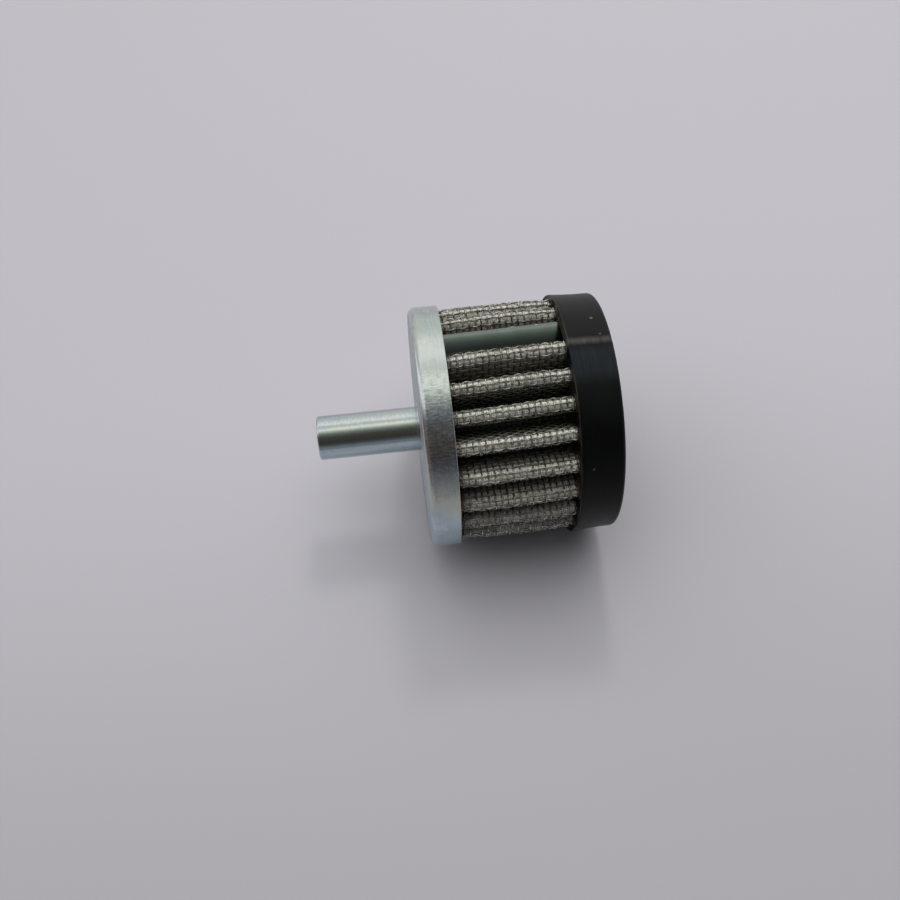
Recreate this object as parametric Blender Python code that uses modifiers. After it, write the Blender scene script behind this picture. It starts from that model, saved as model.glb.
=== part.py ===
"""Crankcase breather filter.

A pressed steel cup with a push-in tube, a pleated element of wire cloth and gauze closed by a
crimped seam clip, and a moulded rubber end cap. The filter stands on the end cap's flat face.

Frame: the origin is the centre of that flat face and +Z runs along the filter's axis to the
tube. Azimuths are degrees from +X towards +Y. Lengths are metres.
"""
import math

import bmesh
import bpy

MM = 0.001

# Clearances between pieces that touch on the real filter
FIT = 0.3 * MM
LAYER_GAP = 0.1 * MM

# Whole body, from the end cap's flat face to the cup's face
BODY_HEIGHT = 39.0 * MM

# Pleats of the element, whose ridges reach the tip radius. Their pitch is taken at their feet
TIP_RADIUS = 24.5 * MM
PLEAT_DEPTH = 9.3 * MM
PLEAT_PITCH = 4.15 * MM
RIDGE_HOLLOW = 0.25 * MM
VALLEY_FOLD = 0.3 * MM
PLEAT_WANDER = 0.9
WANDER_LOBES = 5
WANDER_AZIMUTH = -117.0
PACK_TWIST = 2.6
TWIST_LEVEL = 22.0 * MM

# Layers of the element, from the outside in
SCREEN_THICKNESS = 0.4 * MM
GAUZE_THICKNESS = 0.4 * MM
WIRE_RELIEF = 0.09 * MM

# Seam where the two ends of the element meet, and the clip over it. The next ridge and valley
# are placed by the lengths of the arcs to their centres
SEAM_AZIMUTH = -43.9
SEAM_TO_RIDGE = 5.3 * MM
SEAM_TO_VALLEY = 2.42 * MM
SEAM_VALLEY_RISE = 0.4 * MM
CLIP_RECESS = 1.5 * MM
CLIP_LEAN = 41.0
CLIP_SHOULDER = 0.95 * MM
CLIP_BACK = 8.0 * MM
CLIP_HALF_WIDTH = 3.3 * MM
CLIP_DEPTH = 5.4 * MM
CLIP_SHEET = 0.6 * MM

# Pressed steel cup, which stands clear of the pleats' tips inside
CUP_MARGIN = 0.6 * MM
CUP_RIM_HEIGHT = 6.0 * MM
CUP_SHEET = 0.8 * MM
CUP_SHOULDER = 2.2 * MM

# Push-in tube with its flare under the cup's sheet
TUBE_RADIUS = 4.76 * MM
TUBE_WALL = 0.96 * MM
TUBE_REACH = 22.2 * MM
TUBE_END_CHAMFER = 0.3 * MM
FLARE_WIDTH = 2.7 * MM
FLARE_THICKNESS = 0.9 * MM

# Moulded rubber end cap, with its wall outside the pleats' tips
CAP_WALL = 0.9 * MM
CAP_HEIGHT = 9.2 * MM
CAP_CORNER = 0.8 * MM
CAP_FLOOR = 4.0 * MM

# Adhesive that sets the element in the cup, poured round the tube's flare
POTTING_DEPTH = 4.1 * MM
POTTING_WEB = 0.8 * MM

# Steps of the round shapes
TURN_STEPS = 60
TUBE_STEPS = 40
RIDGE_STEPS = 4
SCREEN_RIDGE_STEPS = 6
VALLEY_STEPS = 2
CLIP_STEPS = 4
POCKET_STEPS = 8
CORNER_STEPS = 3

MERGE = 0.00001

# Pleats, radii and angles that follow from the sizes above
PLEATS = round(2 * math.pi * (TIP_RADIUS - PLEAT_DEPTH) / PLEAT_PITCH)
PACK_THICKNESS = 2 * SCREEN_THICKNESS + GAUZE_THICKNESS + 2 * LAYER_GAP
RIDGE_FOLD = PACK_THICKNESS + RIDGE_HOLLOW
RIDGE_RADIUS = TIP_RADIUS - RIDGE_FOLD
VALLEY_RADIUS = TIP_RADIUS - PLEAT_DEPTH + VALLEY_FOLD
CLIP_CROWN_RADIUS = TIP_RADIUS - CLIP_RECESS
CLIP_FOOT_RADIUS = CLIP_CROWN_RADIUS - CLIP_DEPTH
CLIP_FOOT_WIDTH = RIDGE_FOLD + FIT + CLIP_SHEET
SEAM_VALLEY_RADIUS = VALLEY_RADIUS + SEAM_VALLEY_RISE
SEAM_RIDGE_ANGLE = math.degrees(SEAM_TO_RIDGE / RIDGE_RADIUS)
SEAM_VALLEY_ANGLE = math.degrees(SEAM_TO_VALLEY / SEAM_VALLEY_RADIUS)
CUP_RADIUS = TIP_RADIUS + CUP_MARGIN + CUP_SHEET
CAP_RADIUS = TIP_RADIUS + CAP_WALL
TUBE_BORE_RADIUS = TUBE_RADIUS - TUBE_WALL
FLARE_RADIUS = TUBE_RADIUS + FLARE_WIDTH
POTTING_RADIUS = CUP_RADIUS - CUP_SHEET - FIT
POCKET_CLEARANCE = 0.5 * VALLEY_FOLD
POCKET_INNER_RADIUS = VALLEY_RADIUS - VALLEY_FOLD - PACK_THICKNESS - FIT
POTTING_BORE_RADIUS = FLARE_RADIUS + FIT

# Levels that follow from the sizes above
CUP_INNER_LEVEL = BODY_HEIGHT - CUP_SHEET
CUP_RIM_LEVEL = BODY_HEIGHT - CUP_RIM_HEIGHT
TUBE_TOP_LEVEL = BODY_HEIGHT + TUBE_REACH
POTTING_TOP_LEVEL = CUP_INNER_LEVEL - FIT
POTTING_FOOT_LEVEL = POTTING_TOP_LEVEL - POTTING_DEPTH
PACK_FOOT_LEVEL = CAP_FLOOR + FIT
PACK_TOP_LEVEL = POTTING_TOP_LEVEL - POTTING_WEB - FIT


def clear_scene():
    """Remove every object that the file opened with."""
    for old in list(bpy.data.objects):
        bpy.data.objects.remove(old, do_unlink=True)


def new_collection(name):
    """Return a new collection that hangs in the scene."""
    collection = bpy.data.collections.new(name)
    bpy.context.scene.collection.children.link(collection)
    return collection


def material(name, colour, roughness, metallic):
    """Return a Principled material."""
    result = bpy.data.materials.new(name)
    result.use_nodes = True
    shader = result.node_tree.nodes["Principled BSDF"]
    shader.inputs["Base Color"].default_value = (*colour, 1.0)
    shader.inputs["Roughness"].default_value = roughness
    shader.inputs["Metallic"].default_value = metallic
    return result


def add_object(name, mesh, collection, finish=None):
    """Link a mesh into the collection as a named object."""
    obj = bpy.data.objects.new(name, mesh)
    if finish is not None:
        mesh.materials.append(finish)
    collection.objects.link(obj)
    return obj


def corner(centre, radius, start, end, steps=CORNER_STEPS):
    """Return the points of an arc in the (radius, level) plane, angles in degrees."""
    points = []
    for step in range(steps + 1):
        angle = math.radians(start + (end - start) * step / steps)
        points.append((centre[0] + radius * math.cos(angle), centre[1] + radius * math.sin(angle)))
    return points


def turned(name, profile, closed, steps, collection, finish):
    """Turn a profile of (radius, level) points about Z. It runs down its outer side."""
    mesh = bpy.data.meshes.new(name)
    points = [(radius, 0.0, level) for radius, level in profile]
    edges = [(i, i + 1) for i in range(len(points) - 1)]
    if closed:
        edges.append((len(points) - 1, 0))
    mesh.from_pydata(points, edges, [])
    obj = add_object(name, mesh, collection, finish)
    screw = obj.modifiers.new("Turn", "SCREW")
    screw.axis = "Z"
    screw.angle = 2 * math.pi
    screw.steps = steps
    screw.render_steps = steps
    screw.use_merge_vertices = True
    screw.merge_threshold = MERGE
    screw.use_smooth_shade = True
    return obj


def polar(radius, azimuth):
    """Return the point at a radius and an azimuth in degrees."""
    angle = math.radians(azimuth)
    return (radius * math.cos(angle), radius * math.sin(angle))


def clip_shoulder_radius(across):
    """Return the radius of a point on the leaning line through the clip's shoulder centres."""
    run = across - (CLIP_HALF_WIDTH - CLIP_SHOULDER)
    return CLIP_CROWN_RADIUS - CLIP_SHOULDER + run * math.tan(math.radians(CLIP_LEAN))


def seam_end_radius():
    """Return the radius where the element ends, under the low side of the clip's leaning back."""
    inner_face = (CLIP_SHOULDER - CLIP_SHEET) / math.cos(math.radians(CLIP_LEAN))
    return clip_shoulder_radius(-RIDGE_FOLD) + inner_face - 2 * FIT


def turn_at(level):
    """Return how far the element is twisted at a level, in degrees."""
    span = PACK_TOP_LEVEL - PACK_FOOT_LEVEL
    return PACK_TWIST * (TWIST_LEVEL - level) / span


def ridge_azimuth(index):
    """Return the azimuth of a pleat's ridge before the twist. The pitch wanders a little."""
    pitch = (360.0 - 2 * SEAM_RIDGE_ANGLE) / (PLEATS - 1)
    even = SEAM_AZIMUTH + SEAM_RIDGE_ANGLE + index * pitch
    return even + PLEAT_WANDER * math.sin(math.radians(WANDER_LOBES * (even - WANDER_AZIMUTH)))


def pleat_folds():
    """Return the folds in order as (radius, azimuth, is_ridge), from one seam end to the other."""
    ridges = [ridge_azimuth(index) for index in range(PLEATS)]
    folds = [(seam_end_radius(), SEAM_AZIMUTH, True)]
    folds.append((SEAM_VALLEY_RADIUS, SEAM_AZIMUTH + SEAM_VALLEY_ANGLE, False))
    for index, azimuth in enumerate(ridges):
        folds.append((RIDGE_RADIUS, azimuth, True))
        if index < PLEATS - 1:
            folds.append((VALLEY_RADIUS, 0.5 * (azimuth + ridges[index + 1]), False))
    folds.append((SEAM_VALLEY_RADIUS, SEAM_AZIMUTH + 360.0 - SEAM_VALLEY_ANGLE, False))
    folds.append((seam_end_radius(), SEAM_AZIMUTH + 360.0, True))
    return folds


def leg_heading(start, end, start_is_ridge):
    """Return the heading of the leg that crosses from one fold's arc to the next one's."""
    across = (end[0] - start[0], end[1] - start[1])
    lean = math.asin((RIDGE_FOLD + VALLEY_FOLD) / math.hypot(*across))
    return math.atan2(across[1], across[0]) + (lean if start_is_ridge else -lean)


def fold_arcs(depth, level, ridge_steps=RIDGE_STEPS, relief=0.0):
    """Return the points of each fold, a depth under the element's outer face, at a level.

    Each fold is an arc about its own centre: the layers share the centres, so a ridge's arc
    shrinks with the depth and a valley's grows. A relief sinks every other point of a ridge.
    """
    turn = turn_at(level)
    folds = pleat_folds()
    centres = [polar(radius, azimuth + turn) for radius, azimuth, _ in folds]
    headings = []
    for here, there, fold in zip(centres, centres[1:], folds):
        headings.append(leg_heading(here, there, fold[2]))
    arcs = []
    for index, (fold, centre) in enumerate(zip(folds, centres)):
        is_ridge = fold[2]
        radius = RIDGE_FOLD - depth if is_ridge else VALLEY_FOLD + depth
        side = -0.5 * math.pi if is_ridge else 0.5 * math.pi
        before = headings[max(index - 1, 0)]
        after = headings[min(index, len(headings) - 1)]
        steps = ridge_steps if is_ridge else VALLEY_STEPS
        if index in (0, len(folds) - 1):
            steps = 0
        swing = (after - before) % (2 * math.pi) - (0.0 if is_ridge else 2 * math.pi)
        points = []
        for step in range(steps + 1):
            angle = before + side + (swing * step / steps if steps else 0.0)
            reach = radius - (relief if is_ridge and step % 2 else 0.0)
            points.append((centre[0] + reach * math.cos(angle), centre[1] + reach * math.sin(angle)))
        arcs.append(points)
    return arcs


def pleat_path(depth, level, ridge_steps=RIDGE_STEPS, relief=0.0):
    """Return the whole pleated line of a layer's face, from one seam end to the other."""
    return [point for arc in fold_arcs(depth, level, ridge_steps, relief) for point in arc]


def pocket_path(level):
    """Return the closed outline of a pocket for the element: the pleats, then over the clip."""
    points = [point for arc in fold_arcs(-POCKET_CLEARANCE, level)[2:-2] for point in arc]
    half = math.degrees(CLIP_HALF_WIDTH / CLIP_CROWN_RADIUS)
    for step in range(POCKET_STEPS + 1):
        azimuth = SEAM_AZIMUTH + turn_at(level) - half + 2 * half * step / POCKET_STEPS
        points.append(polar(CLIP_CROWN_RADIUS + FIT, azimuth))
    return points


def clip_path(depth, level):
    """Return the seam clip's section a depth under its outer face, at a level.

    It is a channel whose back leans: a leg, the low shoulder's arc, the back's wide arc, the
    high shoulder's arc and the other leg, as (distance across the seam, radius) points. The
    arcs run into each other smoothly, because the wide one passes over both shoulders.
    """
    low, high = CLIP_SHOULDER - CLIP_FOOT_WIDTH, CLIP_HALF_WIDTH - CLIP_SHOULDER
    lean = math.radians(90.0 + CLIP_LEAN)
    reach = CLIP_BACK - CLIP_SHOULDER
    half = math.asin(0.5 * (high - low) / math.cos(math.radians(CLIP_LEAN)) / reach)
    sink = reach * math.cos(half)
    middle = 0.5 * (low + high)
    back = (middle - sink * math.cos(lean), clip_shoulder_radius(middle) - sink * math.sin(lean))
    high_end, low_end = math.degrees(lean - half), math.degrees(lean + half)
    edge = depth - CLIP_FOOT_WIDTH
    section = [(edge, CLIP_FOOT_RADIUS), (edge, clip_shoulder_radius(low))]
    for centre, radius, start, end in (
        ((low, clip_shoulder_radius(low)), CLIP_SHOULDER, 180.0, low_end),
        (back, CLIP_BACK, low_end, high_end),
        ((high, clip_shoulder_radius(high)), CLIP_SHOULDER, high_end, 0.0),
    ):
        section += corner(centre, radius - depth, start, end, CLIP_STEPS)[1:]
    section.append((-edge, CLIP_FOOT_RADIUS))
    angle = math.radians(SEAM_AZIMUTH + turn_at(level))
    out, over = (math.cos(angle), math.sin(angle)), (-math.sin(angle), math.cos(angle))
    return [(out[0] * r + over[0] * s, out[1] * r + over[1] * s) for s, r in section]


def circle_under(path, radius):
    """Return the points of a circle that lie inside those of a path, one for each."""
    return [(x * radius / math.hypot(x, y), y * radius / math.hypot(x, y)) for x, y in path]


def ribbon(name, outer, inner, levels, closed, collection, finish=None):
    """Loft the band between an outer and an inner line from one level up to another.

    The lines are functions of a level that give as many points each. Closed makes a ring. Both
    walls list their corners from the same one, so that their twisted faces split the same way.
    """
    mesh = bpy.data.meshes.new(name)
    body = bmesh.new()
    rows = []
    for level in levels:
        for line in (outer, inner):
            rows.append([body.verts.new((x, y, level)) for x, y in line(level)])
    low_out, low_in, top_out, top_in = rows
    count = len(low_out)
    for here in range(count if closed else count - 1):
        there = (here + 1) % count
        body.faces.new((low_out[here], low_out[there], top_out[there], top_out[here]))
        body.faces.new((low_in[here], top_in[here], top_in[there], low_in[there]))
        body.faces.new((top_out[here], top_out[there], top_in[there], top_in[here]))
        body.faces.new((low_out[there], low_out[here], low_in[here], low_in[there]))
    if not closed:
        body.faces.new((low_out[0], top_out[0], top_in[0], low_in[0]))
        body.faces.new((top_out[-1], low_out[-1], low_in[-1], top_in[-1]))
    body.to_mesh(mesh)
    body.free()
    return add_object(name, mesh, collection, finish)


def cut(obj, cutter):
    """Cut the cutter's shape out of an object."""
    cutter.hide_render = True
    cutter.display_type = "WIRE"
    boolean = obj.modifiers.new("Cut " + cutter.name, "BOOLEAN")
    boolean.operation = "DIFFERENCE"
    boolean.solver = "EXACT"
    boolean.object = cutter


def add_base_cup(parts):
    """The pressed cup: a flat face with the tube's hole, a rounded shoulder and a rim."""
    centre = (CUP_RADIUS - CUP_SHOULDER, BODY_HEIGHT - CUP_SHOULDER)
    hole = TUBE_RADIUS + FIT
    profile = [(hole, BODY_HEIGHT)]
    profile += corner(centre, CUP_SHOULDER, 90, 0)
    profile += [(CUP_RADIUS, CUP_RIM_LEVEL), (CUP_RADIUS - CUP_SHEET, CUP_RIM_LEVEL)]
    profile += corner(centre, CUP_SHOULDER - CUP_SHEET, 0, 90)
    profile += [(hole, CUP_INNER_LEVEL)]
    zinc = material("zinc_plated_cup", (0.42, 0.44, 0.46), 0.38, 1.0)
    return turned("base_cup", profile, True, TURN_STEPS, parts, zinc)


def add_inlet_tube(parts):
    """The push-in tube, flared where it is fixed under the cup's sheet."""
    flare_level = CUP_INNER_LEVEL - FIT
    profile = [
        (TUBE_BORE_RADIUS + TUBE_END_CHAMFER, TUBE_TOP_LEVEL),
        (TUBE_RADIUS - TUBE_END_CHAMFER, TUBE_TOP_LEVEL),
        (TUBE_RADIUS, TUBE_TOP_LEVEL - TUBE_END_CHAMFER),
        (TUBE_RADIUS, flare_level),
        (FLARE_RADIUS, flare_level),
        (FLARE_RADIUS, flare_level - FLARE_THICKNESS),
        (TUBE_BORE_RADIUS, flare_level - FLARE_THICKNESS),
        (TUBE_BORE_RADIUS, TUBE_TOP_LEVEL - TUBE_END_CHAMFER),
    ]
    zinc = material("zinc_plated_tube", (0.48, 0.49, 0.49), 0.24, 1.0)
    return turned("inlet_tube", profile, True, TUBE_STEPS, parts, zinc)


def cut_pocket(obj, levels, cutters):
    """Cut the ring-shaped pocket that an end of the element and its clip are set in."""
    def core(level):
        return circle_under(pocket_path(level), POCKET_INNER_RADIUS)

    cut(obj, ribbon(obj.name + "_pocket", pocket_path, core, levels, True, cutters))


def add_base_potting(parts, cutters):
    """The adhesive ring in the cup, with the pocket that holds the element's upper end."""
    centre = (CUP_RADIUS - CUP_SHOULDER, BODY_HEIGHT - CUP_SHOULDER)
    profile = [(POTTING_BORE_RADIUS, POTTING_TOP_LEVEL)]
    profile += corner(centre, CUP_SHOULDER - CUP_SHEET - FIT, 90, 0)
    profile += [(POTTING_RADIUS, POTTING_FOOT_LEVEL), (POTTING_BORE_RADIUS, POTTING_FOOT_LEVEL)]
    amber = material("amber_adhesive", (0.28, 0.13, 0.05), 0.45, 0.0)
    potting = turned("base_potting", profile, True, TURN_STEPS, parts, amber)
    levels = (POTTING_FOOT_LEVEL - POTTING_WEB, PACK_TOP_LEVEL + FIT)
    cut_pocket(potting, levels, cutters)
    return potting


def add_end_cap(parts, cutters):
    """The moulded rubber cap, with the pocket that holds the element's lower end."""
    profile = [(0.0, CAP_HEIGHT), (CAP_RADIUS, CAP_HEIGHT)]
    profile += corner((CAP_RADIUS - CAP_CORNER, CAP_CORNER), CAP_CORNER, 0, -90)
    profile += [(0.0, 0.0)]
    rubber = material("black_rubber", (0.012, 0.012, 0.012), 0.55, 0.0)
    cap = turned("end_cap", profile, False, TURN_STEPS, parts, rubber)
    levels = (PACK_FOOT_LEVEL - FIT, CAP_HEIGHT + CAP_CORNER)
    cut_pocket(cap, levels, cutters)
    return cap


def add_layer(name, depth, thickness, finish, parts, ridge_steps=RIDGE_STEPS, relief=0.0):
    """One pleated layer of the element, from one end of the element to the other."""
    def outer(level):
        return pleat_path(depth, level, ridge_steps, relief)

    def inner(level):
        return pleat_path(depth + thickness, level, ridge_steps)

    levels = (PACK_FOOT_LEVEL, PACK_TOP_LEVEL)
    return ribbon(name, outer, inner, levels, False, parts, finish)


def add_element(parts):
    """The three pleated layers: wire cloth, gauze and the wire cloth that backs it."""
    wire = material("wire_cloth", (0.36, 0.35, 0.33), 0.5, 0.9)
    cotton = material("cotton_gauze", (0.55, 0.50, 0.46), 0.95, 0.0)
    backing = material("backing_wire_cloth", (0.36, 0.35, 0.33), 0.5, 0.9)
    gauze_depth = SCREEN_THICKNESS + LAYER_GAP
    backing_depth = gauze_depth + GAUZE_THICKNESS + LAYER_GAP
    add_layer("outer_screen", 0.0, SCREEN_THICKNESS, wire, parts, SCREEN_RIDGE_STEPS, WIRE_RELIEF)
    add_layer("gauze", gauze_depth, GAUZE_THICKNESS, cotton, parts)
    add_layer("inner_screen", backing_depth, SCREEN_THICKNESS, backing, parts)


def add_seam_clip(parts):
    """The folded channel with a leaning back, crimped over the element's two ends."""
    def outer(level):
        return clip_path(0.0, level)

    def inner(level):
        return clip_path(CLIP_SHEET, level)

    grey = material("clip_sheet", (0.16, 0.19, 0.16), 0.3, 0.9)
    levels = (PACK_FOOT_LEVEL, PACK_TOP_LEVEL)
    return ribbon("seam_clip", outer, inner, levels, False, parts, grey)


def build():
    """Build the whole filter."""
    clear_scene()
    parts = new_collection("crankcase_breather_filter")
    cutters = new_collection("cutters")
    add_base_cup(parts)
    add_inlet_tube(parts)
    add_base_potting(parts, cutters)
    add_element(parts)
    add_seam_clip(parts)
    add_end_cap(parts, cutters)


build()
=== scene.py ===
"""Looks of the crankcase breather filter.

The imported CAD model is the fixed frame. Each sub-assembly is a class that works out its surfaces
with numpy and dresses them; each finish is a frozen dataclass that builds its own shader nodes.
All lengths are metres, in the CAD's own frame: the filter stands on its rubber end cap, with its
axis along +Z, and the photograph's camera looks at it from -Y with the tube to its left.
"""

import logging
import math
from abc import ABC, abstractmethod
from collections.abc import Callable
from dataclasses import dataclass, field
from enum import Enum
from functools import cached_property

import bpy
import numpy as np
from mathutils import Matrix, Vector


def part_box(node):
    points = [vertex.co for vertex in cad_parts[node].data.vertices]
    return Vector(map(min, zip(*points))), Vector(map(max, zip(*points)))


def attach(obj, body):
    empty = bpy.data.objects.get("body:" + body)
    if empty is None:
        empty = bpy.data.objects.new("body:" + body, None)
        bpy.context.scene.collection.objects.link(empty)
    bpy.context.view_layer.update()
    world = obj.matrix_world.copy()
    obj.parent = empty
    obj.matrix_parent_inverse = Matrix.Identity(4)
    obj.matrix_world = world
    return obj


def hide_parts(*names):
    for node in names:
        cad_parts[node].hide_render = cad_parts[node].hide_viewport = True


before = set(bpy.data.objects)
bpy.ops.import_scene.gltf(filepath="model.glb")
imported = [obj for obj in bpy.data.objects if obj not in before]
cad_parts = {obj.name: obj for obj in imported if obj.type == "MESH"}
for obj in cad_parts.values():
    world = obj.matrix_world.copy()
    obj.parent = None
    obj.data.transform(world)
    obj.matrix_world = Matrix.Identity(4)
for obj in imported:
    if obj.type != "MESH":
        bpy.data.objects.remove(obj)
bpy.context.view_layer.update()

LOG = logging.getLogger("breather")
MM = 0.001
BODY = "root"
UP = (0.0, 0.0, 1.0)
TUBE_RADIUS = 4.76 * MM
Array = np.ndarray
Piece = bpy.types.Object
Material = bpy.types.Material
Pair = tuple[float, float]
Triple = tuple[float, float, float]
Colour = Triple
Mark = tuple[float, float, float, float]


def node_span(node: str) -> tuple[float, float, float]:
    """Read a turned CAD node's size.

    Args:
        node: The node's name.

    Returns:
        Its outer radius, its lowest level and its highest level.
    """
    low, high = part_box(node)
    return 0.5 * (high[1] - low[1]), low[2], high[2]


def ripple(u: Array, v: Array, seed: int, waves: int = 6) -> Array:
    """Sum a few sine waves of seeded direction and phase into a smooth unevenness.

    Args:
        u: First coordinate, in radians of the slowest wave.
        v: Second coordinate, likewise.
        seed: Seed of the waves.
        waves: How many waves are summed.

    Returns:
        Values from about -1 to 1.
    """
    rng = np.random.default_rng(seed)
    total = np.zeros(np.broadcast(u, v).shape)
    for order in range(1, waves + 1):
        turns_u, turns_v = rng.integers(-3, 4, 2) * order
        total = total + np.sin(turns_u * u + turns_v * v + rng.uniform(0, 2 * math.pi)) / order
    return total / 2.0


def add_mesh(name: str, points: Array, faces: list, uv: Array | None = None) -> Piece:
    """Put points and faces into a smooth-shaded object at the origin.

    Args:
        name: The piece's name.
        points: Vertex places, n x 3.
        faces: Lists of vertex indices.
        uv: A coordinate pair for each vertex, or None.

    Returns:
        The new object, linked to the scene.
    """
    mesh = bpy.data.meshes.new(name)
    mesh.from_pydata(points.tolist(), [], faces)
    mesh.shade_smooth()
    if uv is not None:
        corners = np.empty(len(mesh.loops), np.int32)
        mesh.loops.foreach_get("vertex_index", corners)
        layer = mesh.uv_layers.new(name="UVMap")
        layer.data.foreach_set("uv", uv[corners].astype(np.float32).ravel())
    mesh.validate()
    obj = bpy.data.objects.new(name, mesh)
    bpy.context.scene.collection.objects.link(obj)
    return obj


def grid_faces(rows: int, columns: int, close_rows: bool, close_columns: bool) -> Array:
    """List the quads of a grid of points, with its first point at index 0.

    Args:
        rows: Number of rows.
        columns: Points in each row.
        close_rows: Whether the last row joins the first.
        close_columns: Whether each row is a ring.

    Returns:
        Quads as an m x 4 array. They face the side from which a row runs to the right of the
        way from one row to the next.
    """
    low = np.arange(rows if close_rows else rows - 1)[:, None]
    left = np.arange(columns if close_columns else columns - 1)[None, :]
    high, right = (low + 1) % rows, (left + 1) % columns
    corners = ((low, left), (low, right), (high, right), (high, left))
    quads = [row * columns + column for row, column in corners]
    return np.stack(quads, axis=-1).reshape(-1, 4)


def ring_stack(name: str, rings: Array, hoop: bool = False) -> Piece:
    """Join a stack of rings into a closed skin.

    Args:
        name: The piece's name.
        rings: Points as ring x point x 3, each ring counterclockwise from above, in order down
            the outer side.
        hoop: Whether the last ring joins the first. Otherwise the ends close on a pole each.

    Returns:
        The new object.
    """
    count, around = rings.shape[:2]
    points = rings.reshape(-1, 3)
    faces = grid_faces(count, around, hoop, True)[:, ::-1].tolist()
    if not hoop:
        poles = rings[[0, -1]].mean(axis=1)
        points = np.vstack([points, poles])
        here = np.arange(around)
        there = (here + 1) % around
        last = (count - 1) * around
        first_fan = np.stack([here, there, np.full(around, count * around)], axis=-1)
        last_fan = np.stack([last + there, last + here, np.full(around, count * around + 1)], axis=-1)
        faces += first_fan.tolist() + last_fan.tolist()
    return add_mesh(name, points, faces)


def turned(name: str, profile: Array, around: int) -> Piece:
    """Turn a closed loop of (radius, level) points about Z.

    Args:
        name: The piece's name.
        profile: Points as n x 2, in order down the outer side and up the inner one.
        around: Points in each ring.

    Returns:
        The new object.
    """
    angle = np.arange(around) * 2 * math.pi / around
    rings = np.empty((len(profile), around, 3))
    rings[..., 0] = profile[:, :1] * np.cos(angle)
    rings[..., 1] = profile[:, :1] * np.sin(angle)
    rings[..., 2] = profile[:, 1:]
    return ring_stack(name, rings, hoop=True)


def arc(centre: Pair, radius: float, start: float, end: float, steps: int) -> Array:
    """Lay points on an arc in the (radius, level) plane, angles in degrees from +radius."""
    angle = np.radians(np.linspace(start, end, steps + 1))
    return np.stack([centre[0] + radius * np.cos(angle), centre[1] + radius * np.sin(angle)], axis=-1)


def dressed(obj: Piece, looks: dict[str, Material], slot: str, node: str) -> Piece:
    """Give a piece its material and its place in the frame.

    Args:
        obj: The piece.
        looks: The materials by slot.
        slot: The record's material slot.
        node: The CAD node that it stands for.

    Returns:
        The same piece.
    """
    obj.data.materials.append(looks[slot])
    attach(obj, BODY)
    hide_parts(node)
    LOG.info("%s: %d faces", obj.name, len(obj.data.polygons))
    return obj


def math_method(operation: str, flipped: bool = False) -> Callable[["Signal", object], "Signal"]:
    """Make a method of Signal that adds a Math node.

    Args:
        operation: The Math node's operation.
        flipped: Whether the other value comes first, as in 1 - mask.

    Returns:
        The method.
    """
    def apply(self: "Signal", other: object) -> "Signal":
        """Add the node and return its output."""
        first, second = (other, self) if flipped else (self, other)
        return self.calculated(operation, first, second)

    return apply


class Signal:
    """A shader socket that takes part in Python expressions, each adding its Math node."""

    def __init__(self, graph: "Graph", socket: bpy.types.NodeSocket) -> None:
        """Wrap an output socket of a graph's node."""
        self.graph = graph
        self.socket = socket

    def calculated(self, operation: str, first: object, second: object = 0.0) -> "Signal":
        """Add one Math node and return its output."""
        node = self.graph.node("Math", {"operation": operation}, {0: first, 1: second})
        return self.graph.signal(node)

    __add__, __radd__ = math_method("ADD"), math_method("ADD", flipped=True)
    __sub__, __rsub__ = math_method("SUBTRACT"), math_method("SUBTRACT", flipped=True)
    __mul__, __rmul__ = math_method("MULTIPLY"), math_method("MULTIPLY", flipped=True)
    __truediv__ = math_method("DIVIDE")
    most = math_method("MAXIMUM")

    def wave(self) -> "Signal":
        """Return the sine of the value."""
        return self.calculated("SINE", self)

    def size(self) -> "Signal":
        """Return the value without its sign."""
        return self.calculated("ABSOLUTE", self)

    def step(self, low: float, high: float) -> "Signal":
        """Return 0 under low, 1 over high and a smooth rise between them."""
        sockets = {"Value": self, "From Min": low, "From Max": high}
        node = self.graph.node("MapRange", {"interpolation_type": "SMOOTHSTEP"}, sockets)
        return self.graph.signal(node, "Result")


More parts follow.
